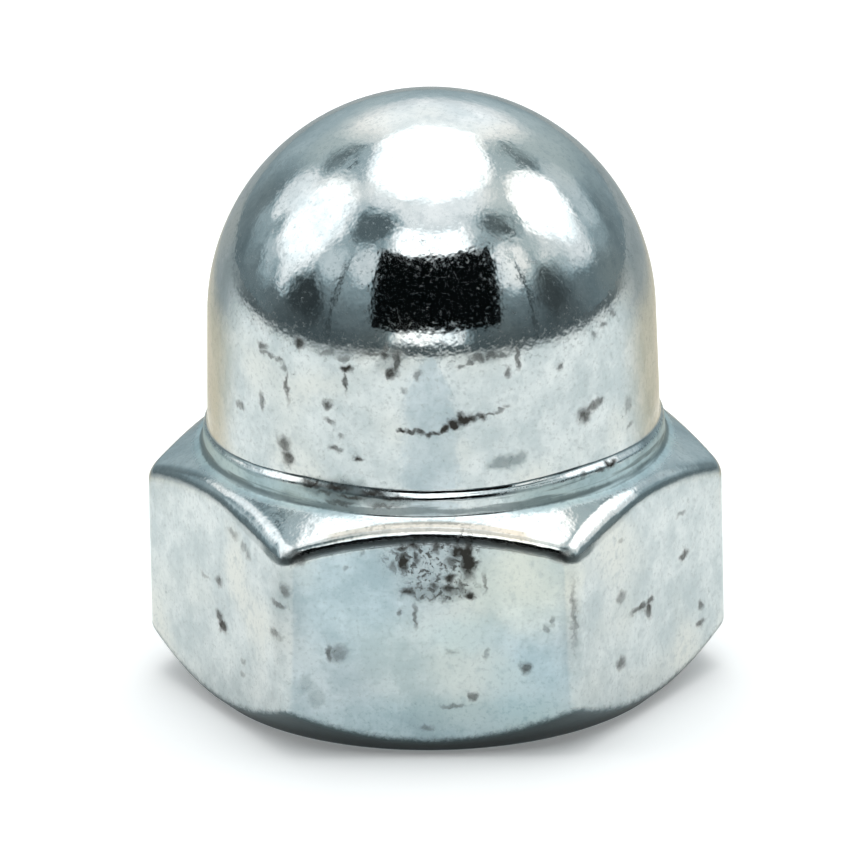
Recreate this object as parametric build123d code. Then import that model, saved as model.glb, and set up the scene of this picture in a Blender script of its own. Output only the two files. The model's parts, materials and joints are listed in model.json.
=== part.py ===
from build123d import *
import os
from math import cos, radians, sin, tan

# Domed cap nut for an M6 thread, cold-formed in one piece, in millimetres and degrees.
# +Z runs up the thread axis. The origin is the centre of the bearing face.
# Two flats face -Y and +Y, and two corners lie on the X axis.

# Hexagon
side_count = 6
across_flats = 10.0
hex_height = 4.93
corner_radius = 0.42

# Upper bevel, from the flats in to the foot of the collar
shoulder_width = 0.4
crown_bevel = 30.0
crest_radius = 0.5

# Lower bevel, from the flats in to the bearing face
heel_width = 0.38
underside_bevel = 40.0
heel_radius = 0.2

# Low collar with a narrow ledge, at the foot of the cap
collar_height = 0.34
collar_draft = 2.5
ledge_width = 0.08
ledge_slope = 45.0
hollow_radius = 0.06
rim_radius = 0.05

# Round cap
overall_height = 12.0
cap_draft = 1.3

# Blind hole, drilled to the inside diameter of the thread
tapping_diameter = 5.0
drill_depth = 8.5
drill_point = 118.0
mouth_bevel_width = 0.75
mouth_bevel = 30.0

# How far cutting shapes run past the faces that they cut
overrun = 1.0


def cap_outline(side_foot):
    """Radius of the ball that ends the cap, its centre, and where the leaning side meets it."""
    foot_radius, foot_level = side_foot
    lean = radians(cap_draft)
    leaned_in = (overall_height - foot_level) * tan(lean)
    ball_radius = (foot_radius - leaned_in) / (1 / cos(lean) - tan(lean))
    centre = (0, overall_height - ball_radius)
    side_top = (ball_radius * cos(lean), centre[1] + ball_radius * sin(lean))
    return ball_radius, centre, side_top


def corner_near(section, point):
    """The corner of a section that lies nearest to a point of its outline."""
    return section.vertices().sort_by_distance(point)[0]


def turned_section():
    """Half section of the nut as if it were turned, before its flats are formed."""
    flat_distance = across_flats / 2
    blank_radius = flat_distance / cos(radians(180 / side_count)) + overrun
    bearing_radius = flat_distance - heel_width
    bearing_edge = (bearing_radius, 0)
    blank_bottom = (blank_radius, (blank_radius - bearing_radius) * tan(radians(underside_bevel)))

    collar_radius = flat_distance - shoulder_width
    collar_foot = (collar_radius, hex_height)
    blank_top = (blank_radius, hex_height - (blank_radius - collar_radius) * tan(radians(crown_bevel)))
    collar_rim = (
        collar_radius - collar_height * tan(radians(collar_draft)),
        hex_height + collar_height,
    )
    side_foot = (
        collar_rim[0] - ledge_width,
        collar_rim[1] + ledge_width * tan(radians(ledge_slope)),
    )
    ball_radius, ball_centre, side_top = cap_outline(side_foot)

    with BuildSketch(Plane.XZ) as section:
        with BuildLine():
            Polyline(
                (0, overall_height),
                (0, 0),
                bearing_edge,
                blank_bottom,
                blank_top,
                collar_foot,
                collar_rim,
                side_foot,
                side_top,
            )
            CenterArc(ball_centre, ball_radius, cap_draft, 90 - cap_draft)
        make_face()
        fillet([corner_near(section, collar_foot), corner_near(section, side_foot)], hollow_radius)
        fillet(corner_near(section, collar_rim), rim_radius)
    return section.sketch


def hexagon_bar():
    """Six-sided bar with rounded corners, as tall as the nut."""
    with BuildPart() as bar:
        with BuildSketch():
            hexagon = RegularPolygon(across_flats / 2, side_count, major_radius=False)
            fillet(hexagon.vertices(), corner_radius)
        extrude(amount=overall_height)
    return bar.part


def tapping_hole():
    """The drilled hole with its pointed end, and the bevel at its mouth."""
    hole_radius = tapping_diameter / 2
    mouth_rise = tan(radians(mouth_bevel))
    wall_start = mouth_bevel_width * mouth_rise
    point_height = hole_radius / tan(radians(drill_point / 2))
    with BuildPart() as hole:
        with BuildSketch(Plane.XZ):
            with BuildLine():
                Polyline(
                    (0, -overrun),
                    (hole_radius + mouth_bevel_width + overrun / mouth_rise, -overrun),
                    (hole_radius, wall_start),
                    (hole_radius, drill_depth),
                    (0, drill_depth + point_height),
                    close=True,
                )
            make_face()
        revolve(axis=Axis.Z)
    return hole.part


def edges_between(block, low, high):
    """The curved edges that lie wholly between two levels."""
    return block.edges().filter_by(
        lambda edge: edge.bounding_box().min.Z > low
        and edge.bounding_box().max.Z < high
        and edge.geom_type != GeomType.LINE
    )


def cap_nut():
    """The finished nut: the turned form cut to a hexagon, its edges rounded, then drilled."""
    block = revolve(turned_section(), axis=Axis.Z) & hexagon_bar()
    middle = hex_height / 2
    block = fillet(edges_between(block, middle, hex_height - hollow_radius), crest_radius)
    block = fillet(edges_between(block, 0, middle), heel_radius)
    return block - tapping_hole()


nut = cap_nut()
nut.label = "cap_nut"
os.makedirs("parts", exist_ok=True)
export_step(nut, "parts/cap_nut.step")
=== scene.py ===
import json
from math import atan, atan2, cos, degrees, hypot, pi, radians, sin, tan

import bpy
import numpy as np
from mathutils import Matrix, Quaternion, Vector, noise
from mathutils.bvhtree import BVHTree


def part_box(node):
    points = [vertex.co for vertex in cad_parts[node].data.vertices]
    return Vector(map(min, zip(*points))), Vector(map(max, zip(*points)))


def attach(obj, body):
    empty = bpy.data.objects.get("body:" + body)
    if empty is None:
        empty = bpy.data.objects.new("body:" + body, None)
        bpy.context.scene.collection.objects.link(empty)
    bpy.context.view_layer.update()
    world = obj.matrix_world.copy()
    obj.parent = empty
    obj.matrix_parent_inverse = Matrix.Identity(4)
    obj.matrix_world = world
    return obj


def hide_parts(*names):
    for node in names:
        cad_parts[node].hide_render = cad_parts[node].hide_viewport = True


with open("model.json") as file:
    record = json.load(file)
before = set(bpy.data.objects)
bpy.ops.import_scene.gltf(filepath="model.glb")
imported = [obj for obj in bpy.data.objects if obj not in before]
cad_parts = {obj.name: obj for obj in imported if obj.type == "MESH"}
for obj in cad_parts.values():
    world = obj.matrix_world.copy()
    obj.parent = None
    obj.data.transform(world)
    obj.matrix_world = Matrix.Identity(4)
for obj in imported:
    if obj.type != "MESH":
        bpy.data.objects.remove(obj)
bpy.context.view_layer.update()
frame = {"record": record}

# Lengths are in metres and angles in degrees, unless a name or a comment says otherwise.
MM = 0.001

# Sizes of the nut that the frame gives
_, box_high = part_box("cap_nut")
FLAT_DISTANCE = box_high.y
OVERALL_HEIGHT = box_high.z
thread_mount = next(mount for mount in frame["record"]["mounts"] if mount["name"] == "thread")
HOLE_RADIUS = thread_mount["dims"]["r_mm"] * MM
HOLE_WALL = thread_mount["dims"]["length_mm"] * MM
WALL_START = thread_mount["pos_m"][2] - HOLE_WALL / 2

# Hexagon
SIDE_COUNT = 6
SIDE_TURN = 360 / SIDE_COUNT
HEX_HEIGHT = 4.93 * MM
CORNER_RADIUS = 0.42 * MM

# Upper bevel, lower bevel and the rounded edges of the lower one
SHOULDER_WIDTH = 0.4 * MM
CROWN_BEVEL = 30
HEEL_WIDTH = 0.38 * MM
UNDERSIDE_BEVEL = 40
HEEL_RADIUS = 0.2 * MM
BEARING_EDGE_RADIUS = 0.04 * MM

# Collar, ledge and cap
COLLAR_HEIGHT = 0.34 * MM
COLLAR_DRAFT = 2.5
LEDGE_WIDTH = 0.08 * MM
LEDGE_SLOPE = 45
RIM_RADIUS = 0.15 * MM
CAP_FOOT_RADIUS = 0.15 * MM
CAP_DRAFT = 1.3
COLLAR_RADIUS = FLAT_DISTANCE - SHOULDER_WIDTH
COLLAR_RIM_RADIUS = COLLAR_RADIUS - COLLAR_HEIGHT * tan(radians(COLLAR_DRAFT))

# Hole and its M6 thread
MOUTH_BEVEL_WIDTH = 0.75 * MM
MOUTH_BEVEL = 30
DRILL_POINT = 118
DRILL_POINT_HEIGHT = HOLE_RADIUS / tan(radians(DRILL_POINT / 2))
THREAD_PITCH = 1.0 * MM
THREAD_DEPTH = 0.5 * MM
THREAD_ROOT_SHARE = 0.125
THREAD_FLANK = 30
THREAD_END = 7.3 * MM
THREAD_RUN_OUT = 0.9 * MM
RUN_OUT_POWER = 0.15

# Fineness of the mesh
COLUMNS = 480
COLUMNS_PER_HOLE_COLUMN = 4
CROWDING_AT_CORNERS = 0.3
HOLE_ROWS_PER_PITCH = 18
PLAIN_WALL_ROWS = 4
DRILL_POINT_ROWS = 9
DOME_ROWS = 54

# Rows of the rounded edges and of the runs before and after each, from the mouth of the hole to the dome
ARC_ROWS = (4, 8, 13, 7, 7, 7)
RUN_ROWS = (6, 4, 28, 4, 3, 2, 14)

# Unevenness left by forming
SURFACE_WAVE = 1.3 * MM
SURFACE_WAVE_HEIGHT = 0.003 * MM
LEDGE_UNEVENNESS_SHARE = 0.1
LEDGE_WAVES = 9
RIM_UNEVENNESS = 0.02 * MM
RIM_WAVES = 7

# Where the front is, as an angle round the axis from +X
FRONT_ANGLE = -90

# Radius of the crest, by the angle from the front to either side
CREST_ANGLES = (28, 34, 46, 56)
CREST_RADII = tuple(radius * MM for radius in (0.5, 0.72, 0.72, 0.5))

# Radius at the foot of the collar, by the angle from the front to either side
COLLAR_FOOT_ANGLES = (25, 50)
COLLAR_FOOT_RADII = tuple(radius * MM for radius in (0.05, 0.22))

# How far the collar's rim stands above its level, by the angle from the front
RIM_LIFT_ANGLES = (-180, -50, -32, -12, 0, 20, 42, 56, 72, 180)
RIM_LIFTS = tuple(lift * MM for lift in (0, 0, 0.09, 0.06, 0.035, 0.05, 0.10, 0.08, 0.02, 0))

# Width of the ledge as a share of its usual width, by the angle from the front
LEDGE_ANGLES = (-180, -75, -55, -25, 0, 20, 60, 80, 180)
LEDGE_WIDTH_SHARES = (1.1, 1.1, 1.3, 1.25, 1.4, 1.35, 1.35, 1.1, 1.1)

# How steep the ledge is, by the angle from the front
LEDGE_SLOPE_ANGLES = (-180, 6, 18, 55, 70, 180)
LEDGE_SLOPES = (50, 50, 43, 43, 50, 50)

# What the mesh's measured distances say of points that aren't on the outside, in millimetres
FAR_OFF = 100.0

# Camera, as the photograph shows the nut
PHOTO_SIDE = 866
PIXELS_PER_MM = 50.29
CAMERA_DISTANCE = 400 * MM
CAMERA_REACH = 4000 * MM
CAMERA_ELEVATION = 20.8
CAMERA_AZIMUTH = 2.0
CAMERA_ROLL = -1.17
SENSOR_WIDTH = 36
FOCAL_PIXELS = PIXELS_PER_MM / MM * CAMERA_DISTANCE
AIM = Vector((-0.022 * MM, 0, 4.956 * MM))

# Pits in the plate, by face: x, y, half width and half height in pixels of the photograph, and strength
PITS = {
    "front flat": (
        # Cluster under the crest
        (404, 563, 5, 10, 0.9),
        (402, 549, 6, 3.5, 0.8),
        (412, 547, 6, 3.5, 0.8),
        (416, 557, 3, 6, 0.7),
        (393, 566, 3.5, 6, 0.5),
        (436, 548, 4, 5, 0.75),
        (468, 561, 7, 17, 1.0),
        (458, 551, 8, 7, 0.9),
        (451, 561, 5, 6, 0.6),
        (449, 578, 6, 4, 0.8),
        (408, 592, 6, 4, 0.8),
        (434, 586, 4, 3, 0.7),
        (449, 589, 7, 5, 0.75),
        (470, 596, 5, 5, 0.85),
        (462, 586, 4, 6, 0.5),
        (415, 617, 2.5, 12, 0.6),
        (400, 611, 2.5, 4, 0.5),
        (485, 583, 1.8, 10, 0.5),
        # Scattered
        (329, 653, 3.5, 8, 0.65),
        (338, 653, 9, 7.5, 0.42),
        (526, 668, 5.5, 5.5, 0.65),
        (486, 654, 2.5, 6, 0.35),
        (452, 652, 6, 2.5, 0.3),
        (473, 696, 4, 4, 0.6),
        (453, 706, 11, 2.2, 0.45),
        (427, 727, 6, 3, 0.4),
        (553, 621, 2.5, 4, 0.4),
        (547, 630, 2.5, 4, 0.4),
        (574, 614, 2.5, 30, 0.4),
        (562, 557, 10, 6, 0.55),
        (294, 559, 12, 6, 0.55),
        (345, 566, 3, 3, 0.35),
        (362, 553, 3, 3, 0.3),
    ),
    "left flat": (
        (220, 616, 3.5, 6, 0.7),
        (223, 626, 4, 6, 0.9),
        (219, 581, 3, 5.5, 0.65),
        (233, 534, 5, 4, 0.4),
        (244, 547, 3, 4, 0.4),
        (248, 555, 2.5, 5, 0.4),
        (205, 575, 3.5, 2.5, 0.35),
        (277, 604, 5, 2.5, 0.55),
        (275, 633, 5, 4, 0.5),
        (244, 661, 2.5, 2.5, 0.35),
        (243, 675, 2.5, 2.5, 0.35),
        (284, 591, 2.5, 6, 0.5),
    ),
    "right flat": (
        (636, 611, 5, 3, 0.6),
        (642, 607, 5, 4, 0.7),
        (650, 601, 4, 4, 0.7),
        (649, 610, 3, 7, 0.75),
        (684, 555, 4.5, 4.5, 0.7),
        (621, 596, 4, 6, 0.5),
        (621, 663, 4, 6, 0.6),
        (701, 605, 2.5, 5, 0.6),
        (700, 623, 4.5, 3, 0.65),
        (681, 514, 4.5, 2.5, 0.4),
        (621, 540, 2.5, 2.5, 0.3),
    ),
    "cap": (
        # Crack
        (401, 430, 5, 2, 0.8),
        (410, 431, 6, 2.2, 0.8),
        (420, 432, 6, 2.2, 0.75),
        (430, 434, 5, 2.4, 0.75),
        (438, 433, 5, 2.6, 0.8),
        (445, 429, 4.5, 4, 0.9),
        (453, 424, 6, 5, 1.0),
        (462, 420, 7, 6, 0.95),
        (471, 418, 5, 4.5, 0.85),
        (480, 416, 6, 3, 0.75),
        (490, 414, 5, 2, 0.6),
        (499, 411, 5, 2, 0.5),
        (506, 407, 3.5, 2, 0.4),
        # Scattered
        (585, 415, 6.5, 8, 0.7),
        (593, 406, 6, 5, 0.65),
        (599, 401, 4, 4, 0.6),
        (284, 444, 6, 8, 0.65),
        (288, 458, 6, 7.5, 0.7),
        (262, 401, 2.4, 9, 0.5),
        (287, 386, 2, 14, 0.6),
        (264, 352, 4, 2.2, 0.5),
        (271, 355, 4, 2.2, 0.5),
        (279, 360, 4, 2.2, 0.5),
        (284, 366, 3, 3, 0.5),
        (240, 404, 4.5, 3, 0.5),
        (262, 345, 4, 4, 0.6),
        (300, 344, 5, 5, 0.8),
        (328, 405, 4.5, 4.5, 0.7),
        (329, 421, 4, 3, 0.55),
        (335, 448, 6, 3, 0.6),
        (340, 437, 3, 3, 0.45),
        (358, 458, 5, 3, 0.8),
        (346, 368, 6, 3.5, 0.85),
        (345, 382, 2.4, 10, 0.7),
        (391, 373, 5, 6, 0.8),
        (397, 362, 4, 9, 0.7),
        (384, 356, 3.5, 4.5, 0.7),
        (388, 347, 3, 3.5, 0.5),
        (325, 352, 8, 2.5, 0.4),
        (343, 358, 7, 2.5, 0.4),
        (372, 354, 9, 2.5, 0.45),
        (418, 375, 4, 5, 0.5),
        (404, 390, 3.5, 3.5, 0.4),
        (461, 366, 5, 2.4, 0.5),
        (470, 362, 5, 2.4, 0.5),
        (479, 358, 6, 3.5, 0.55),
        (492, 355, 7, 3, 0.55),
        (503, 354, 5, 2.5, 0.45),
        (508, 371, 4, 5, 0.6),
        (518, 357, 2.4, 10, 0.6),
        (560, 367, 3.5, 4, 0.6),
        (594, 335, 3, 4, 0.45),
        (603, 325, 4, 3, 0.45),
        (612, 314, 4, 3, 0.4),
        (628, 404, 3, 8, 0.35),
        (630, 425, 3, 3, 0.4),
        # Streaks on the collar
        (312, 484, 10, 2.2, 0.75),
        (337, 488, 13, 2.4, 0.8),
        (325, 493, 8, 2, 0.55),
        (352, 497, 13, 2, 0.65),
        (373, 494, 12, 2.4, 0.8),
        (393, 499, 10, 2.2, 0.75),
        (340, 503, 14, 1.8, 0.55),
        (385, 506, 14, 1.8, 0.5),
        (611, 463, 6, 3, 0.8),
        (600, 469, 4, 2.5, 0.6),
        (584, 474, 3, 3, 0.5),
    ),
}

# Patches that are broken up by corrosion, in the same terms
SCABS = {
    "front flat": (
        (428, 560, 42, 20, 0.85),
        (440, 588, 36, 13, 0.8),
        (466, 556, 13, 24, 0.9),
    ),
}

# Soft grey smears, in the same terms
SMEARS = {
    "front flat": (
        (436, 592, 36, 9, 0.45),
        (430, 565, 45, 24, 0.18),
        (572, 620, 9, 60, 0.2),
        (306, 684, 8, 9, 0.25),
        (316, 698, 8, 9, 0.25),
    ),
    "left flat": (
        (282, 620, 9, 55, 0.2),
    ),
    "cap": (
        (502, 463, 12, 6, 0.55),
        (515, 459, 11, 7, 0.55),
        (390, 360, 14, 12, 0.3),
        (345, 352, 40, 7, 0.22),
        (490, 356, 26, 6, 0.25),
        (318, 487, 20, 8, 0.6),
        (345, 494, 24, 12, 0.75),
        (378, 499, 20, 8, 0.7),
        (398, 502, 14, 4, 0.6),
        (287, 507, 13, 12, 0.55),
    ),
}

# Tints, in the same terms, with the colour that multiplies the plate's in place of a strength; the last
# darkens the bottom of the front flat as painted shade
TINTS_AND_PAINTED_SHADE = {
    "front flat": (
        (520, 584, 58, 48, (1.2, 1.15, 1.06)),
        (425, 660, 58, 44, (1.08, 1.07, 1.03)),
        (352, 594, 50, 55, (0.94, 1.0, 1.02)),
        (470, 635, 36, 18, (0.95, 1.0, 1.02)),
        (528, 682, 40, 42, (0.90, 0.98, 1.01)),
        # painted shade: the bottom of the front flat darker, where it mirrors the shadowed floor
        (450, 722, 130, 24, (0.78, 0.86, 0.88)),
    ),
}

# Cream and tan bands above the front crest, a painted reflection colour: millimetres up from its foot, and
# the colour that multiplies the plate's
CREAM_REFLECTION_BANDS = (
    ((0.30, 0.36, 0.42, 0.46), (0.87, 0.80, 0.73)),
    ((0.42, 0.47, 0.56, 0.64), (0.57, 0.505, 0.445)),
)

# How far a mark reaches in from its face and out of it
MARK_DEPTH = 0.5 * MM

# Softness of the marks' edges, as a share of half the mark
PIT_SOFTNESS_SHARE = 0.6
SCAB_SOFTNESS_SHARE = 0.3
SMEAR_SOFTNESS_SHARE = 0.5
TINT_SOFTNESS_SHARE = 0.5

# Colours of the plate and of the dirt on it; the dirt colour also paints shade on the heel and at the collar,
# and the pit colour paints the deepest shade low on the heel
DEEP_ZINC = (0.46, 0.53, 0.55)
PALE_ZINC = (0.66, 0.71, 0.72)
WARM_ZINC = (0.665, 0.69, 0.665)
PEEL_COLOUR = (0.42, 0.48, 0.50)
FROST_COLOUR = (0.36, 0.41, 0.42)
FROST_SHARE = 0.4
DIRT_AND_SHADE_COLOUR = (0.105, 0.14, 0.145)
PIT_AND_SHADE_COLOUR = (0.042, 0.04, 0.036)
STAIN_FACTOR = (0.8, 0.93, 0.96)

# Roughness of the plate, bare and under what lies on it, and the height of its peel
BARE_ROUGHNESS = 0.07
FROST_ROUGHNESS = 0.26
DIRT_ROUGHNESS = 0.4
STAIN_ROUGHNESS = 0.5
PEEL_HEIGHT = 0.0048 * MM

# Noise in the plate, with its scale in features a millimetre
CLOUDS = {"scale": 1.1, "detail": 4, "roughness": 0.68}
WARMTH = {"scale": 0.5, "detail": 1, "roughness": 0.5}
PEEL = {"scale": 4.0, "detail": 2, "roughness": 0.62}
GRAIN = {"scale": 11.0, "detail": 2, "roughness": 0.7}
CRUST = {"scale": 9.0, "detail": 2, "roughness": 0.7}
STREAKS = {"scale": 1.0, "detail": 2, "roughness": 0.6}
STREAK_STRETCH = (0.6, 0.6, 9)

# Values of a noise at which its effect starts and is full, with the strength of the effect where it isn't one
CLOUD_RANGE = (0.3, 0.7)
WARMTH_RANGE = (0.48, 0.75)
PEEL_RANGE = (0.52, 0.75, 0.5)
FROST_RANGE = (0.48, 0.74)
FLECK_RANGE = (0.72, 0.8, 0.3)
SCAB_RANGE = (0.46, 0.64)
FOOT_STREAK_RANGE = (0.25, 0.55, 0.65)
WALL_STREAK_RANGE = (0.5, 0.66, 0.65)

# What is added to the crust's noise to give the strength of the pits
PIT_GRIT = 0.65

# How places are moved about, so that what is drawn there has uneven edges: features a unit, and distance
SHIFT_DETAIL = 2.0
NOISE_MIDDLE = (0.5, 0.5, 0.5)
PLATE_SHIFTS = ((5.0, 0.24), (20.0, 0.06))
TENT_SHIFT = (4.0, 0.05)

# Bands along the edges, in millimetres up the outline: where each starts, is full from, is full to and ends
CREST_DIRT = (0.06, 0.14, 0.21, 0.29)
CREST_WITHOUT_FROST = (0.08, 0.14, 0.3, 0.36)
# dark streaks at the foot of the collar and on its wall: partly dirt, partly painted shade in the crease and
# on the wall
COLLAR_FOOT_DIRT_AND_SHADE = (0.02, 0.06, 0.15, 0.21)
COLLAR_WALL_DIRT_AND_SHADE = (0.0, 0.1, 0.38, 0.48)
COLLAR_STAIN = (-0.2, 0.0, 0.42, 0.52)

# Strength of the dirt under the crest, and how ragged the edges of the bands are, in millimetres
CREST_DIRT_BEHIND = 0.25
CREST_DIRT_IN_FRONT = 0.75
RAGGEDNESS = 0.2
FINE_RAGGED_SHARE = 0.4

# Painted shade on the heel, in millimetres up the outline: where it starts and is full, and its strength
HEEL_SHADE = (0.06, -0.12, 0.92)

# Levels in millimetres at which something starts and is full, with its strength where it isn't one
# painted shade on the heel: the first keeps it off the bearing face, the second deepens it low down
HEEL_SHADE_LEVELS = (0.005, 0.04)
DEEP_HEEL_SHADE_LEVELS = (0.6, 0.05, 0.7)
SPECK_LEVELS = (10.5, 8.5, 0.7)

# Distances in millimetres at which something starts and is full: along Y, and to either side of the middle
FRONT_BEVEL = (-4.1, -4.5)
CREAM_SIDES = (2.3, 1.8)
STAIN_SIDES = (0.9, 2.2)

# Specks on the back, in millimetres, and the shares of their radius between which their edges fade
SPECKS = {"scale": 1.1, "radius": 0.14, "kept_share": 0.3}
SPECK_EDGE_SHARES = (1.3, 0.6)

# Angles of the mesh's columns in radians, closer together at the corners, and from the front in degrees
even_angles = np.arange(COLUMNS) * 2 * pi / COLUMNS
ANGLES = even_angles - CROWDING_AT_CORNERS / SIDE_COUNT * np.sin(SIDE_COUNT * even_angles)
FROM_FRONT = (np.degrees(ANGLES) - FRONT_ANGLE + 180) % 360 - 180


def unit(vectors):
    """Each row of an array, brought to length one."""
    return vectors / np.linalg.norm(vectors, axis=-1, keepdims=True)


def wobble(seed, waves):
    """Smooth unevenness round the nut, one value a column, mostly between -1 and 1."""
    random = np.random.default_rng(seed)
    total = np.zeros(COLUMNS)
    for wave in range(1, waves + 1):
        total += random.normal() * np.sin(wave * ANGLES + random.uniform(0, 2 * pi))
    return total / waves**0.5


def hexagon_radius():
    """Distance from the axis to the rounded hexagon, one value a column."""
    half_side = pi / SIDE_COUNT
    from_corner = (ANGLES + half_side) % (2 * half_side) - half_side
    from_flat = half_side - np.abs(from_corner)
    inset = FLAT_DISTANCE - CORNER_RADIUS
    centre = inset / cos(half_side)
    reach = np.maximum(CORNER_RADIUS**2 - (centre * np.sin(from_corner)) ** 2, 0)
    rounded = centre * np.cos(from_corner) + np.sqrt(reach)
    rounding_starts = atan(inset * tan(half_side) / FLAT_DISTANCE)
    return np.where(from_flat > rounding_starts, rounded, FLAT_DISTANCE / np.cos(from_flat))


def outline_point(radius, level):
    """One point of the outline for every column, as rows of radius and level."""
    return np.column_stack([np.broadcast_to(radius, COLUMNS), np.broadcast_to(level, COLUMNS)])


def run(start, end, count):
    """Evenly spaced points between two outline points, without the two themselves."""
    return [start + (end - start) * step / (count + 1) for step in range(1, count + 1)]


def rounded_outline(corners, roundings, run_rows):
    """Outline points through the corners, whose inner ones are rounded by (radius, rows of the arc).

    The second result is the first and the last row of each arc.
    """
    rows = [corners[0]]
    arcs = []
    for index, (radius, arc_rows) in enumerate(roundings, start=1):
        inward = unit(corners[index] - corners[index - 1])
        onward = unit(corners[index + 1] - corners[index])
        turn = np.arccos(np.clip((inward * onward).sum(1), -1, 1))[:, None]
        side = unit(onward - inward * np.cos(turn))
        start = corners[index] - inward * radius * np.tan(turn / 2)
        rows += run(rows[-1], start, run_rows[index - 1])
        arcs.append((len(rows), len(rows) + arc_rows - 1))
        for angle in np.linspace(0, 1, arc_rows)[:, None, None] * turn:
            rows.append(start + radius * (inward * np.sin(angle) + side * (1 - np.cos(angle))))
    return rows + run(rows[-1], corners[-1], run_rows[-1]) + [corners[-1]], arcs


def collar_outline():
    """Outline points at the collar's foot, at its rim and at the foot of the cap, unevenly formed."""
    ledge_share = np.interp(FROM_FRONT, LEDGE_ANGLES, LEDGE_WIDTH_SHARES)
    unevenness = LEDGE_UNEVENNESS_SHARE * np.clip(wobble(seed=3, waves=LEDGE_WAVES), -1, 1)
    ledge = LEDGE_WIDTH * (ledge_share + unevenness)
    ledge_rise = ledge * np.tan(np.radians(np.interp(FROM_FRONT, LEDGE_SLOPE_ANGLES, LEDGE_SLOPES)))
    lift = np.interp(FROM_FRONT, RIM_LIFT_ANGLES, RIM_LIFTS)
    rim_level = HEX_HEIGHT + COLLAR_HEIGHT + lift + RIM_UNEVENNESS * wobble(seed=4, waves=RIM_WAVES)
    return [
        outline_point(COLLAR_RADIUS, HEX_HEIGHT),
        outline_point(COLLAR_RIM_RADIUS, rim_level),
        outline_point(COLLAR_RIM_RADIUS - ledge, rim_level + ledge_rise),
    ]


def cap_ball():
    """Radius of the ball that ends the cap, and the level of its centre."""
    foot_radius = COLLAR_RIM_RADIUS - LEDGE_WIDTH
    foot_level = HEX_HEIGHT + COLLAR_HEIGHT + LEDGE_WIDTH * tan(radians(LEDGE_SLOPE))
    lean = radians(CAP_DRAFT)
    leaned_in = (OVERALL_HEIGHT - foot_level) * tan(lean)
    radius = (foot_radius - leaned_in) / (1 / cos(lean) - tan(lean))
    return radius, OVERALL_HEIGHT - radius


def outer_outline():
    """Outline points of the outside, from the mouth of the hole to just short of the top.

    The second result is how far each point lies up the outline from some of its edges, in millimetres.
    """
    wall = hexagon_radius()
    mouth_radius = HOLE_RADIUS + MOUTH_BEVEL_WIDTH
    bearing_radius = FLAT_DISTANCE - HEEL_WIDTH
    heel_level = (wall - bearing_radius) * tan(radians(UNDERSIDE_BEVEL))
    crest_level = HEX_HEIGHT - (wall - COLLAR_RADIUS) * tan(radians(CROWN_BEVEL))
    ball_radius, ball_level = cap_ball()
    lean = radians(CAP_DRAFT)
    corners = [
        outline_point(mouth_radius + BEARING_EDGE_RADIUS, 0),
        outline_point(bearing_radius, 0),
        outline_point(wall, heel_level),
        outline_point(wall, crest_level),
        *collar_outline(),
        outline_point(ball_radius * cos(lean), ball_level + ball_radius * sin(lean)),
    ]
    aside = np.abs(FROM_FRONT)
    radii = [
        BEARING_EDGE_RADIUS,
        HEEL_RADIUS,
        np.interp(aside, CREST_ANGLES, CREST_RADII)[:, None],
        np.interp(aside, COLLAR_FOOT_ANGLES, COLLAR_FOOT_RADII)[:, None],
        RIM_RADIUS,
        CAP_FOOT_RADIUS,
    ]
    rows, arcs = rounded_outline(corners, zip(radii, ARC_ROWS), RUN_ROWS)
    for angle in np.linspace(lean, pi / 2, DOME_ROWS)[1:-1]:
        rows.append(outline_point(ball_radius * cos(angle), ball_level + ball_radius * sin(angle)))

    steps = np.linalg.norm(np.diff(rows, axis=0), axis=2)
    travelled = np.concatenate([np.zeros((1, COLUMNS)), np.cumsum(steps, axis=0)])
    _, heel, crest, collar_foot, *_ = arcs
    edges = {"above_heel": heel[1], "above_crest": crest[0], "above_collar_foot": collar_foot[0]}
    return rows, {name: (travelled - travelled[row]) / MM for name, row in edges.items()}


def hole_outline(angles):
    """Levels of the hole from its mouth up, and its radius at each level and angle."""
    wall_end = WALL_START + HOLE_WALL
    thread_rows = round((THREAD_END + THREAD_RUN_OUT) / THREAD_PITCH * HOLE_ROWS_PER_PITCH)
    levels = np.concatenate([
        np.linspace(0, THREAD_END + THREAD_RUN_OUT, thread_rows),
        np.linspace(THREAD_END + THREAD_RUN_OUT, wall_end, PLAIN_WALL_ROWS)[1:],
        np.linspace(wall_end, wall_end + DRILL_POINT_HEIGHT, DRILL_POINT_ROWS)[1:-1],
    ])[:, None]
    bevel = HOLE_RADIUS + (WALL_START - levels) / tan(radians(MOUTH_BEVEL))
    point = HOLE_RADIUS * (wall_end + DRILL_POINT_HEIGHT - levels) / DRILL_POINT_HEIGHT
    plain = np.minimum(np.maximum(bevel, HOLE_RADIUS), point)

    from_root = np.abs((levels / THREAD_PITCH - angles / (2 * pi)) % 1 - 0.5)
    flank = THREAD_DEPTH * tan(radians(THREAD_FLANK)) / THREAD_PITCH
    share = np.clip((flank + THREAD_ROOT_SHARE / 2 - from_root) / flank, 0, 1)
    share = share * share * (3 - 2 * share)
    fading = np.clip((THREAD_END + THREAD_RUN_OUT - levels) / THREAD_RUN_OUT, 0, 1)
    return levels, np.maximum(plain, (HOLE_RADIUS + THREAD_DEPTH * share) * fading**RUN_OUT_POWER)


def in_space(radius, level, angles):
    """Points of one ring, from its radius and level at each angle."""
    return np.column_stack([
        radius * np.cos(angles),
        radius * np.sin(angles),
        np.broadcast_to(level, len(angles)),
    ])


def ring_faces(rings, size):
    """Four-sided faces between rings of vertices, given by the first vertex of each ring."""
    faces = []
    for low, high in zip(rings, rings[1:]):
        for column in range(size):
            following = (column + 1) % size
            faces.append((low + column, low + following, high + following, high + column))
    return faces


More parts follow.
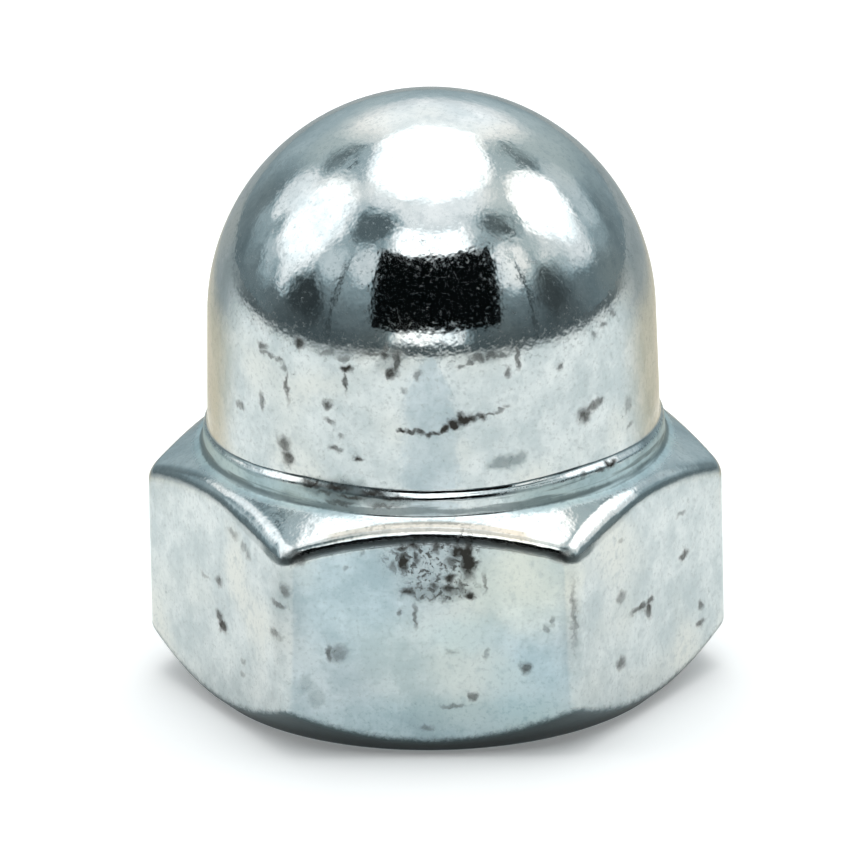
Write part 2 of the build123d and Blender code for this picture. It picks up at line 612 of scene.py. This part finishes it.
def fan_faces(ring, size, middle):
    """Three-sided faces between a ring, given by its first vertex, and one more vertex."""
    return [(ring + column, ring + (column + 1) % size, middle) for column in range(size)]


def wave_surface(mesh, points, formed):
    """Moves the points of a mesh that were formed, in and out by smooth noise."""
    normals = np.empty(len(points) * 3)
    mesh.vertices.foreach_get("normal", normals)
    waves = np.array([noise.noise(Vector(point) / SURFACE_WAVE) for point in points])
    moved = points + normals.reshape(-1, 3) * (waves * formed * SURFACE_WAVE_HEIGHT)[:, None]
    mesh.vertices.foreach_set("co", moved.ravel())
    mesh.update()


def nut_mesh():
    """The whole nut as one closed mesh, with its thread."""
    hole_angles = ANGLES[::COLUMNS_PER_HOLE_COLUMN]
    hole_columns = len(hole_angles)
    outline, distances = outer_outline()
    outside = [in_space(row[:, 0], row[:, 1], ANGLES) for row in outline]
    levels, radii = hole_outline(hole_angles)
    inside = [in_space(radius, level, hole_angles) for level, radius in zip(levels, radii)]

    ends = [(0, 0, OVERALL_HEIGHT), (0, 0, WALL_START + HOLE_WALL + DRILL_POINT_HEIGHT)]
    points = np.concatenate([*outside, *inside, ends])
    top, tip = len(points) - 2, len(points) - 1
    outside_rings = [COLUMNS * index for index in range(len(outside))]
    inside_start = COLUMNS * len(outside)
    inside_rings = [inside_start + hole_columns * index for index in range(len(inside))]

    faces = ring_faces(outside_rings, COLUMNS) + fan_faces(outside_rings[-1], COLUMNS, top)
    hole_faces = ring_faces(inside_rings, hole_columns) + fan_faces(inside_rings[-1], hole_columns, tip)
    faces += [face[::-1] for face in hole_faces]
    for column in range(hole_columns):
        first = column * COLUMNS_PER_HOLE_COLUMN
        across = [(first + step) % COLUMNS for step in range(COLUMNS_PER_HOLE_COLUMN, -1, -1)]
        faces.append((inside_start + column, inside_start + (column + 1) % hole_columns, *across))

    mesh = bpy.data.meshes.new("cap_nut_plated")
    mesh.from_pydata(points.tolist(), [], faces)
    mesh.polygons.foreach_set("use_smooth", [True] * len(mesh.polygons))
    formed = (np.arange(len(points)) < inside_start) & (points[:, 2] > BEARING_EDGE_RADIUS)
    wave_surface(mesh, points, formed)
    for name, distance in distances.items():
        values = np.full(len(points), FAR_OFF)
        values[:inside_start] = distance.ravel()
        mesh.attributes.new(name, "FLOAT", "POINT").data.foreach_set("value", values)
    return mesh


def towards(azimuth, elevation):
    """Unit vector in a direction seen from the nut."""
    azimuth, elevation = radians(azimuth), radians(elevation)
    return Vector((sin(azimuth) * cos(elevation), -cos(azimuth) * cos(elevation), sin(elevation)))


def add_node(tree, kind, inputs, **settings):
    """A shader node whose inputs are set to values, or joined to the sockets that feed them."""
    node = tree.nodes.new("ShaderNode" + kind)
    for name, value in settings.items():
        setattr(node, name, value)
    for name, value in inputs.items():
        if isinstance(value, bpy.types.NodeSocket):
            tree.links.new(value, node.inputs[name])
        else:
            node.inputs[name].default_value = value
    return node


def calculated(tree, operation, first, second=0.0):
    """The result of a sum on one or two values."""
    return add_node(tree, "Math", {0: first, 1: second}, operation=operation).outputs[0]


def faded(tree, value, start, end, most=1.0):
    """Zero where a value is at start, most where it is at end, smooth between them."""
    inputs = {"Value": value, "From Min": start, "From Max": end, "To Max": most}
    return add_node(tree, "MapRange", inputs, interpolation_type="SMOOTHSTEP").outputs["Result"]


def mixed(tree, share, first, second, blend="MIX"):
    """Two colours mixed; share is how much of the second there is."""
    node = add_node(tree, "Mix", {}, data_type="RGBA", blend_type=blend)
    for index, value in ((0, share), (6, first), (7, second)):
        if isinstance(value, bpy.types.NodeSocket):
            tree.links.new(value, node.inputs[index])
        else:
            node.inputs[index].default_value = value if index == 0 else (*value, 1)
    return node.outputs[2]


def blended(tree, share, first, second):
    """Two values mixed; share is how much of the second there is."""
    return add_node(tree, "Mix", {0: share, 2: first, 3: second}, data_type="FLOAT").outputs[0]


def cloudy(tree, place, scale, detail, roughness):
    """Smooth noise at a scale of so many features a unit, about 0.5 on average."""
    inputs = {"Vector": place, "Scale": scale, "Detail": detail, "Roughness": roughness}
    return add_node(tree, "TexNoise", inputs).outputs["Fac"]


def length_of(tree, vector):
    """The length of a vector."""
    return add_node(tree, "VectorMath", {0: vector}, operation="LENGTH").outputs["Value"]


def new_material(name):
    """An empty material, its node tree and its output node."""
    material = bpy.data.materials.new(name)
    material.use_nodes = True
    tree = material.node_tree
    tree.nodes.clear()
    return material, tree, tree.nodes.new("ShaderNodeOutputMaterial")


class Flat:
    """A flat of the hexagon, with its own directions: across it, outwards and up."""

    def __init__(self, azimuth):
        self.across = towards(azimuth + 90, 0)
        self.outward = towards(azimuth, 0)

    def point(self, spot):
        """A spot in the flat's own directions."""
        return Vector((spot.dot(self.across), spot.dot(self.outward), spot.z))

    def narrowing(self, right, _spot):
        """How wide the flat looks, as a share of its width, along the camera's direction to the right."""
        return right.dot(self.across)

    def place(self, tree, place):
        """A place of the shader in the flat's own directions."""
        inputs = {"Z": add_node(tree, "SeparateXYZ", {0: place}).outputs[2]}
        for name, direction in (("X", self.across), ("Y", self.outward)):
            product = add_node(tree, "VectorMath", {0: place, 1: direction}, operation="DOT_PRODUCT")
            inputs[name] = product.outputs["Value"]
        return add_node(tree, "CombineXYZ", inputs).outputs[0]


class CapSide:
    """The round side of the cap, with its own directions: round it, outwards and up."""

    def point(self, spot):
        """A spot in the cap's own directions."""
        return Vector((atan2(spot.x, -spot.y) * FLAT_DISTANCE, hypot(spot.x, spot.y), spot.z))

    def narrowing(self, right, spot):
        """How wide the cap looks at a spot, as a share, along the camera's direction to the right."""
        azimuth = atan2(spot.x, -spot.y)
        return right.dot(towards(degrees(azimuth) + 90, 0)) * hypot(spot.x, spot.y) / FLAT_DISTANCE

    def place(self, tree, place):
        """A place of the shader, in millimetres, in the cap's own directions."""
        across, along, level = add_node(tree, "SeparateXYZ", {0: place}).outputs
        azimuth = calculated(tree, "ARCTAN2", across, calculated(tree, "MULTIPLY", along, -1.0))
        square = calculated(tree, "MULTIPLY", across, across)
        square = add_node(tree, "Math", {0: along, 1: along, 2: square}, operation="MULTIPLY_ADD").outputs[0]
        inputs = {
            "X": calculated(tree, "MULTIPLY", azimuth, FLAT_DISTANCE / MM),
            "Y": calculated(tree, "SQRT", square),
            "Z": level,
        }
        return add_node(tree, "CombineXYZ", inputs).outputs[0]


FACES = {
    "front flat": Flat(0),
    "left flat": Flat(-SIDE_TURN),
    "right flat": Flat(SIDE_TURN),
    "cap": CapSide(),
}


class Marks:
    """Finds where marks of the photograph lie on a mesh, and draws them in a material."""

    def __init__(self, camera, mesh):
        self.eye = camera.location
        self.right, self.up, self.back = (camera.rotation_quaternion @ axis for axis in Matrix.Identity(3))
        self.surface = BVHTree.FromPolygons(
            [vertex.co for vertex in mesh.vertices],
            [polygon.vertices for polygon in mesh.polygons],
        )

    def seen_at(self, x, y):
        """The point of the mesh that a pixel shows."""
        aside = (x - PHOTO_SIDE / 2) / FOCAL_PIXELS
        down = (y - PHOTO_SIDE / 2) / FOCAL_PIXELS
        return self.surface.ray_cast(self.eye, self.right * aside - self.up * down - self.back)[0]

    def share(self, tree, face, place, mark, softness, strength=1.0):
        """How much of a mark is at a place of its face: zero outside it and its strength inside it."""
        x, y, half_width, half_height = mark
        spot = self.seen_at(x, y)
        width = half_width / PIXELS_PER_MM / FACES[face].narrowing(self.right, spot)
        height = half_height / PIXELS_PER_MM / self.up.z
        scale = Vector((1 / width, MM / MARK_DEPTH, 1 / height))
        start = -scale * FACES[face].point(spot) / MM
        inside = add_node(tree, "VectorMath", {0: place, 1: scale, 2: start}, operation="MULTIPLY_ADD")
        distance = length_of(tree, inside.outputs[0])
        return faded(tree, distance, 1 + softness, 1 - softness, strength)

    def strongest(self, tree, places, table, softness):
        """The strongest of the marks of a table, at places by face."""
        total = 0.0
        for face, place in places.items():
            for *mark, strength in table.get(face, ()):
                share = self.share(tree, face, place, mark, softness, strength)
                total = calculated(tree, "MAXIMUM", total, share)
        return total


def shifted(tree, place, scale, distance):
    """A place moved about by noise, so that what is drawn there has an uneven edge."""
    inputs = {"Vector": place, "Scale": scale, "Detail": SHIFT_DETAIL}
    shift = add_node(tree, "TexNoise", inputs).outputs["Color"]
    middle = add_node(tree, "VectorMath", {0: shift, 1: NOISE_MIDDLE}, operation="SUBTRACT").outputs[0]
    inputs = {0: middle, 1: (distance, distance, distance), 2: place}
    return add_node(tree, "VectorMath", inputs, operation="MULTIPLY_ADD").outputs[0]


def specks(tree, place, scale, radius, kept_share):
    """Small spots at random: so many places for them a unit, and the share of places that have one."""
    cells = add_node(tree, "TexVoronoi", {"Vector": place, "Scale": scale}).outputs
    draw = add_node(tree, "SeparateXYZ", {0: cells["Color"]}).outputs[0]
    fading = [radius * scale * share for share in SPECK_EDGE_SHARES]
    spot = faded(tree, cells["Distance"], *fading)
    return calculated(tree, "MULTIPLY", spot, calculated(tree, "LESS_THAN", draw, kept_share))


def band(tree, value, start, full_from, full_to, end):
    """One between two values of a range, fading to zero outside them."""
    rising = faded(tree, value, start, full_from)
    return calculated(tree, "MULTIPLY", rising, faded(tree, value, end, full_to))


def distance_up(tree, name, ragged):
    """Distance up the outline from one of its edges, with an uneven edge, in millimetres."""
    node = tree.nodes.new("ShaderNodeAttribute")
    node.attribute_name = name
    return calculated(tree, "ADD", node.outputs["Fac"], ragged)


def edge_grime_and_shade(tree, place, crust, in_front):
    """Painted shade on the heel, deepest low down, dirt along the crest, streaks on the collar that are
    partly dirt and partly painted shade, and a matt stain on the sides of the collar.
    """
    across, _, level = add_node(tree, "SeparateXYZ", {0: place}).outputs
    inputs = {0: crust, 1: RAGGEDNESS, 2: -RAGGEDNESS / 2}
    ragged = add_node(tree, "Math", inputs, operation="MULTIPLY_ADD").outputs[0]
    fine_ragged = calculated(tree, "MULTIPLY", ragged, FINE_RAGGED_SHARE)
    # painted shade: the heel darkened where it mirrors the shadowed floor under the nut, deepest low down
    heel = faded(tree, distance_up(tree, "above_heel", ragged), *HEEL_SHADE)
    heel = calculated(tree, "MULTIPLY", heel, faded(tree, level, *HEEL_SHADE_LEVELS))
    deep_heel_shade = calculated(tree, "MULTIPLY", heel, faded(tree, level, *DEEP_HEEL_SHADE_LEVELS))
    crest = band(tree, distance_up(tree, "above_crest", fine_ragged), *CREST_DIRT)
    crest_strength = blended(tree, in_front, CREST_DIRT_BEHIND, CREST_DIRT_IN_FRONT)
    dirt_and_shade = calculated(tree, "MAXIMUM", heel, calculated(tree, "MULTIPLY", crest, crest_strength))

    stretched = add_node(tree, "VectorMath", {0: place, 1: STREAK_STRETCH}, operation="MULTIPLY").outputs[0]
    streaks = cloudy(tree, stretched, **STREAKS)
    # streaks on the collar: partly dirt, partly painted shade in the crease at its foot and on its wall
    collar_foot = distance_up(tree, "above_collar_foot", fine_ragged)
    streaked = ((COLLAR_FOOT_DIRT_AND_SHADE, FOOT_STREAK_RANGE), (COLLAR_WALL_DIRT_AND_SHADE, WALL_STREAK_RANGE))
    for limits, streak_range in streaked:
        share = band(tree, collar_foot, *limits)
        share = calculated(tree, "MULTIPLY", share, faded(tree, streaks, *streak_range))
        dirt_and_shade = calculated(tree, "MAXIMUM", dirt_and_shade, share)

    aside = faded(tree, calculated(tree, "ABSOLUTE", across), *STAIN_SIDES)
    stain = band(tree, distance_up(tree, "above_collar_foot", ragged), *COLLAR_STAIN)
    return dirt_and_shade, calculated(tree, "MULTIPLY", stain, aside), deep_heel_shade


def clean_zinc(tree, place, peel, frost):
    """Colour of clean zinc: bluish clouds with warmer places, peel and frost."""
    clouds = cloudy(tree, place, **CLOUDS)
    warmth = cloudy(tree, place, **WARMTH)
    colour = mixed(tree, faded(tree, clouds, *CLOUD_RANGE), DEEP_ZINC, PALE_ZINC)
    colour = mixed(tree, faded(tree, warmth, *WARMTH_RANGE), colour, WARM_ZINC)
    colour = mixed(tree, faded(tree, peel, *PEEL_RANGE), colour, PEEL_COLOUR)
    return mixed(tree, calculated(tree, "MULTIPLY", frost, FROST_SHARE), colour, FROST_COLOUR)


def tinted_and_shaded(tree, colour, marks, places):
    """A colour with the tints of some faces, and painted shade at the bottom of the front flat."""
    for face, place in places.items():
        for *mark, factor in TINTS_AND_PAINTED_SHADE.get(face, ()):
            share = marks.share(tree, face, place, mark, TINT_SOFTNESS_SHARE)
            colour = mixed(tree, share, colour, factor, "MULTIPLY")
    return colour


def with_cream_reflection(tree, colour, above_crest, across, in_front):
    """A colour with the painted cream and tan reflection bands above the middle of the front crest."""
    middle = faded(tree, calculated(tree, "ABSOLUTE", across), *CREAM_SIDES)
    middle = calculated(tree, "MULTIPLY", in_front, middle)
    for limits, factor in CREAM_REFLECTION_BANDS:
        share = calculated(tree, "MULTIPLY", band(tree, above_crest, *limits), middle)
        colour = mixed(tree, share, colour, factor, "MULTIPLY")
    return colour


def pits_and_smears(tree, marks, places, crust):
    """How much there is of the pits and of the smears of some faces."""
    pits = marks.strongest(tree, places, PITS, PIT_SOFTNESS_SHARE)
    pits = calculated(tree, "MULTIPLY", pits, calculated(tree, "ADD", crust, PIT_GRIT))
    scabs = marks.strongest(tree, places, SCABS, SCAB_SOFTNESS_SHARE)
    scabs = calculated(tree, "MULTIPLY", scabs, faded(tree, crust, *SCAB_RANGE))
    smears = marks.strongest(tree, places, SMEARS, SMEAR_SOFTNESS_SHARE)
    return calculated(tree, "MAXIMUM", pits, scabs), smears


def zinc_plate(name, marks, faces):
    """Bright bluish zinc with the marks of the given faces, or with specks where there are none."""
    material, tree, output = new_material(name)
    place = tree.nodes.new("ShaderNodeTexCoord").outputs["Object"]
    place = add_node(tree, "VectorMath", {0: place, "Scale": 1 / MM}, operation="SCALE").outputs[0]
    across, along, level = add_node(tree, "SeparateXYZ", {0: place}).outputs
    uneven_place = place
    for scale, distance in PLATE_SHIFTS:
        uneven_place = shifted(tree, uneven_place, scale, distance)
    uneven_places = {face: FACES[face].place(tree, uneven_place) for face in faces}
    peel = cloudy(tree, place, **PEEL)
    grain = cloudy(tree, place, **GRAIN)
    crust = cloudy(tree, uneven_place, **CRUST)

    above_crest = distance_up(tree, "above_crest", 0.0)
    in_front = faded(tree, along, *FRONT_BEVEL)
    off_crest = calculated(tree, "SUBTRACT", 1.0, band(tree, above_crest, *CREST_WITHOUT_FROST))
    frost = calculated(tree, "MULTIPLY", faded(tree, grain, *FROST_RANGE), off_crest)
    # what comes back holds painted shade on the heel and at the collar besides dirt
    dirt_and_shade, stain, deep_heel_shade = edge_grime_and_shade(tree, place, crust, in_front)
    if faces:
        pits, smears = pits_and_smears(tree, marks, uneven_places, crust)
        dirt_and_shade = calculated(tree, "MAXIMUM", dirt_and_shade, smears)
    else:
        below_dome = faded(tree, level, *SPECK_LEVELS)
        pits = calculated(tree, "MULTIPLY", specks(tree, uneven_place, **SPECKS), below_dome)
    pits = calculated(tree, "MAXIMUM", pits, faded(tree, grain, *FLECK_RANGE))
    # painted shade, deepest low on the heel, drawn with the pits
    pits = calculated(tree, "MAXIMUM", pits, deep_heel_shade)

    colour = clean_zinc(tree, uneven_place, peel, frost)
    # tints, and painted shade at the bottom of the front flat
    colour = tinted_and_shaded(tree, colour, marks, uneven_places)
    colour = mixed(tree, stain, colour, STAIN_FACTOR, "MULTIPLY")
    # painted reflection colour: cream and tan bands above the front crest
    colour = with_cream_reflection(tree, colour, above_crest, across, in_front)
    # dirt and painted shade on the heel and collar, then pits and the deepest painted shade on the heel
    colour = mixed(tree, dirt_and_shade, colour, DIRT_AND_SHADE_COLOUR)
    colour = mixed(tree, pits, colour, PIT_AND_SHADE_COLOUR)
    roughness = blended(tree, frost, BARE_ROUGHNESS, FROST_ROUGHNESS)
    roughness = blended(tree, calculated(tree, "MAXIMUM", pits, dirt_and_shade), roughness, DIRT_ROUGHNESS)
    roughness = blended(tree, stain, roughness, STAIN_ROUGHNESS)
    bump = add_node(tree, "Bump", {"Height": peel, "Strength": 1.0, "Distance": PEEL_HEIGHT})
    shader = add_node(tree, "BsdfPrincipled", {
        "Base Color": colour,
        "Metallic": 1.0,
        "Roughness": roughness,
        "Normal": bump.outputs[0],
    })
    tree.links.new(shader.outputs[0], output.inputs["Surface"])
    return material


# The skins of the nut, each with the faces whose marks its material draws
SKINS = {
    "zinc_plate_cap": ("cap",),
    "zinc_plate_hexagon": ("front flat", "left flat", "right flat"),
    "zinc_plate_back": (),
}


def plate(mesh, marks):
    """Plates the nut: the front of its cap, the front of its hexagon, and what the photograph hides."""
    for name, faces in SKINS.items():
        mesh.materials.append(zinc_plate(name, marks, faces))
    centres = np.empty(len(mesh.polygons) * 3)
    mesh.polygons.foreach_get("center", centres)
    _, along, level = centres.reshape(-1, 3).T
    cap, hexagon, back = range(len(SKINS))
    skin = np.where(along > 0, back, np.where(level > HEX_HEIGHT, cap, hexagon))
    mesh.polygons.foreach_set("material_index", skin)


# Light tent: a glowing dome round the nut. Azimuth 0 is towards the camera and 90 is to its right.
TENT_RADIUS = 800 * MM
DIM_TINT = (0.79, 0.98, 1.04)
BRIGHT_TINT = (1.0, 1.0, 1.0)
DIM_LEVEL = 0.4
BRIGHT_LEVEL = 1.2

# The glow by height: from the first elevation to the second it changes to the level that follows
LOWEST_GLOW = 0.13
GLOW_STEPS = (
    (2, 14, 0.22),
    (12, 30, 0.45),
    (34, 48, 0.55),
    (51, 57, 0.8),
    (60, 67, 1.2),
)

# Round patches: azimuth, elevation, radius, softness, level
ROUND_GLOWS = (
    # Haze behind, and the ceiling
    (180, 12, 48, 24, 0.38),
    (180, 45, 39, 14, 0.66),
    (180, 41, 18, 10, 1.4),
    (180, 79, 21, 5, 2.6),
    (180, 70, 18, 5, 2.6),
    # Dim gaps beside the ceiling
    (-137, 45, 5, 5, 0.24),
    (-131.5, 53.5, 2.2, 2, 0.2),
    (136.5, 46.5, 5, 5, 0.26),
    (-51, 57, 8.5, 5, 0.2),
    (63, 55.6, 6.5, 5, 0.12),
    # Lamps on the left and on the right, with dimmer glows under them
    (-118, 6, 22, 14, 0.26),
    (112, 8, 20, 12, 0.28),
    (-118, 17, 7, 7, 0.5),
    (-100, 19, 8, 6, 0.85),
    (-87, 22, 7, 6, 1.3),
    (-122, 31, 6, 7, 1.3),
    (-95.5, 40.5, 16.5, 7, 1.9),
    (122, 21, 8, 8, 0.47),
    (128, 27, 7, 7, 0.8),
    (86, 26, 8, 5, 0.68),
    (82, 36, 6, 6, 0.95),
    (103, 25, 8, 7, 1.1),
    (105.6, 41.2, 14, 5, 2.4),
    # Dim and bright places in front
    (-70, 13, 9, 6, 0.06),
    (72, 15, 9, 6, 0.07),
    (-62, 33, 4, 6, 0.8),
    (-42, 40, 4.5, 6, 1.0),
    (54.5, 35.5, 9, 6, 1.3),
)

# Upright patches: azimuth, elevation, half width, half height, widening upwards, softness as a share, level
UPRIGHT_GLOWS = (
    (0, 8, 17, 3.6, 0, 0.4, 1.8),
    (3.5, 54.5, 30, 7, 0, 0.3, 2.2),
    (-53, 20, 1.2, 19, 0, 0.4, 0.08),
    (57, 20, 1.2, 19, 0, 0.4, 0.08),
    (4.7, 29.5, 37.9, 19.5, 0.2, 0.03, 0.004),
)

# Floor, and how much it glows by itself for whatever sees it or mirrors it
FLOOR_LEVEL = -0.01 * MM
FLOOR_SIDE = 4.0
FLOOR_COLOUR = (0.95, 0.96, 0.96)
FLOOR_LIFT = 0.178

# The floor as the plate mirrors it, with painted shade that makes it darker in front, tan behind and dark far
# off: in front of the nut, beside it, behind it, far behind, at the horizon
FRONT_FLOOR_MIRRORED = (0.71, 0.755, 0.765)
SIDE_FLOOR_MIRRORED = (0.88, 0.88, 0.855)
BACK_FLOOR_MIRRORED = (0.57, 0.515, 0.41)
FAR_FLOOR_MIRRORED = (0.315, 0.34, 0.34)
HORIZON_MIRRORED = (0.108, 0.125, 0.129)
SIDE_STARTS, SIDE_ENDS = 3.5 * MM, 5.5 * MM
TAN_STARTS, TAN_ENDS = 13 * MM, 18 * MM
FAR_STARTS, FAR_ENDS = 18 * MM, 45 * MM
HORIZON_STARTS, HORIZON_ENDS = 48 * MM, 150 * MM

# How much of a distance along Y counts, for where the horizon starts and ends
FRONT_DISTANCE_SHARE = 0.45

# The back of the floor, as the cosine of the angle from straight behind the nut
BACK_STARTS, BACK_ENDS = 0.2, 0.7

# What is seen past the tent
WORLD_COLOUR = (1.0, 1.0, 1.0)


def round_share(tree, direction, azimuth, elevation, radius, softness):
    """How much of a round patch of the tent there is in a direction."""
    inputs = {0: direction, 1: towards(azimuth, elevation)}
    nearness = add_node(tree, "VectorMath", inputs, operation="DOT_PRODUCT").outputs["Value"]
    return faded(tree, nearness, cos(radians(radius + softness)), cos(radians(radius - softness)))


def upright_share(tree, angles, azimuth, elevation, half_width, half_height, widening, softness):
    """How much of an upright patch of the tent there is at an azimuth and an elevation."""
    beside = calculated(tree, "SUBTRACT", angles[0], azimuth)
    above = calculated(tree, "SUBTRACT", angles[1], elevation)
    width = calculated(tree, "ADD", calculated(tree, "MULTIPLY", above, widening), half_width)
    sideways = calculated(tree, "DIVIDE", calculated(tree, "ABSOLUTE", beside), width)
    upwards = calculated(tree, "DIVIDE", calculated(tree, "ABSOLUTE", above), half_height)
    distance = calculated(tree, "MAXIMUM", sideways, upwards)
    return faded(tree, distance, 1 + softness, 1 - softness)


def light_tent():
    """The glowing dome that lights the nut and that its plate mirrors."""
    bpy.ops.mesh.primitive_uv_sphere_add(radius=TENT_RADIUS, segments=96, ring_count=48)
    tent = bpy.context.object
    tent.name = "light_tent"
    tent.visible_camera = False

    material, tree, output = new_material("light_tent")
    place = tree.nodes.new("ShaderNodeTexCoord").outputs["Object"]
    direction = add_node(tree, "VectorMath", {0: place}, operation="NORMALIZE").outputs[0]
    uneven_direction = shifted(tree, direction, *TENT_SHIFT)
    across, along, rise = add_node(tree, "SeparateXYZ", {0: direction}).outputs
    ahead = calculated(tree, "MULTIPLY", along, -1.0)
    azimuth = calculated(tree, "DEGREES", calculated(tree, "ARCTAN2", across, ahead))
    elevation = calculated(tree, "DEGREES", calculated(tree, "ARCSINE", rise))

    level = LOWEST_GLOW
    for start, end, step_level in GLOW_STEPS:
        level = blended(tree, faded(tree, elevation, start, end), level, step_level)
    for *patch, patch_level in ROUND_GLOWS:
        level = blended(tree, round_share(tree, uneven_direction, *patch), level, patch_level)
    for *patch, patch_level in UPRIGHT_GLOWS:
        level = blended(tree, upright_share(tree, (azimuth, elevation), *patch), level, patch_level)
    tint = mixed(tree, faded(tree, level, DIM_LEVEL, BRIGHT_LEVEL), DIM_TINT, BRIGHT_TINT)
    shader = add_node(tree, "Emission", {"Color": tint, "Strength": level})
    tree.links.new(shader.outputs[0], output.inputs["Surface"])
    material.cycles.emission_sampling = "NONE"
    tent.data.materials.append(material)


def mirrored_floor(tree, place):
    """Colour of the floor as the plate mirrors it, with painted shade in front of the nut, behind it and
    towards the horizon.
    """
    across, along, _ = add_node(tree, "SeparateXYZ", {0: place}).outputs
    beside = faded(tree, calculated(tree, "ABSOLUTE", across), SIDE_STARTS, SIDE_ENDS)
    inputs = {0: place, 1: (1, FRONT_DISTANCE_SHARE, 1)}
    drawn_in = add_node(tree, "VectorMath", inputs, operation="MULTIPLY").outputs[0]
    horizon = faded(tree, length_of(tree, drawn_in), HORIZON_STARTS, HORIZON_ENDS)
    colour = mixed(tree, beside, FRONT_FLOOR_MIRRORED, SIDE_FLOOR_MIRRORED)
    colour = mixed(tree, horizon, colour, HORIZON_MIRRORED)
    distance = length_of(tree, place)
    back = mixed(tree, faded(tree, distance, TAN_STARTS, TAN_ENDS), colour, BACK_FLOOR_MIRRORED)
    back = mixed(tree, faded(tree, distance, FAR_STARTS, FAR_ENDS), back, FAR_FLOOR_MIRRORED)
    behind = faded(tree, calculated(tree, "DIVIDE", along, distance), BACK_STARTS, BACK_ENDS)
    return mixed(tree, behind, colour, back)


def floor():
    """White floor that keeps the shadow under the nut."""
    half = FLOOR_SIDE / 2
    corners = [(-half, -half, 0), (half, -half, 0), (half, half, 0), (-half, half, 0)]
    mesh = bpy.data.meshes.new("floor")
    mesh.from_pydata(corners, [], [(0, 1, 2, 3)])
    plane = bpy.data.objects.new("floor", mesh)
    plane.location.z = FLOOR_LEVEL
    bpy.context.scene.collection.objects.link(plane)

    material, tree, output = new_material("floor")
    rays = tree.nodes.new("ShaderNodeLightPath").outputs
    place = tree.nodes.new("ShaderNodeTexCoord").outputs["Object"]
    colour = mixed(tree, rays["Is Glossy Ray"], FLOOR_COLOUR, mirrored_floor(tree, place))
    seen = calculated(tree, "MAXIMUM", rays["Is Camera Ray"], rays["Is Glossy Ray"])
    seen = calculated(tree, "MAXIMUM", seen, rays["Is Transmission Ray"])
    lift = calculated(tree, "MULTIPLY", seen, FLOOR_LIFT)
    lit = add_node(tree, "BsdfDiffuse", {"Color": colour})
    glow = add_node(tree, "Emission", {"Color": colour, "Strength": lift})
    shader = add_node(tree, "AddShader", {0: lit.outputs[0], 1: glow.outputs[0]})
    tree.links.new(shader.outputs[0], output.inputs["Surface"])
    mesh.materials.append(material)


def white_world():
    """White background to whatever looks past the tent."""
    world = bpy.data.worlds.new("white")
    bpy.context.scene.world = world
    world.use_nodes = True
    world.node_tree.nodes["Background"].inputs["Color"].default_value = (*WORLD_COLOUR, 1)


def photo_camera():
    """The camera of the photograph."""
    data = bpy.data.cameras.new("camera")
    data.sensor_width = SENSOR_WIDTH
    data.lens = FOCAL_PIXELS * SENSOR_WIDTH / PHOTO_SIDE
    data.clip_end = CAMERA_REACH
    camera = bpy.data.objects.new("camera", data)
    back = towards(CAMERA_AZIMUTH, CAMERA_ELEVATION)
    camera.location = AIM + back * CAMERA_DISTANCE
    camera.rotation_mode = "QUATERNION"
    roll = Quaternion((0, 0, 1), radians(CAMERA_ROLL))
    camera.rotation_quaternion = (-back).to_track_quat("-Z", "Y") @ roll
    bpy.context.scene.collection.objects.link(camera)
    bpy.context.scene.camera = camera
    return camera


camera = photo_camera()
mesh = nut_mesh()
plate(mesh, Marks(camera, mesh))
nut = bpy.data.objects.new("cap_nut_plated", mesh)
bpy.context.scene.collection.objects.link(nut)
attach(nut, "root")
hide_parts("cap_nut")
light_tent()
floor()
white_world()
bpy.context.scene.view_settings.view_transform = "Standard"
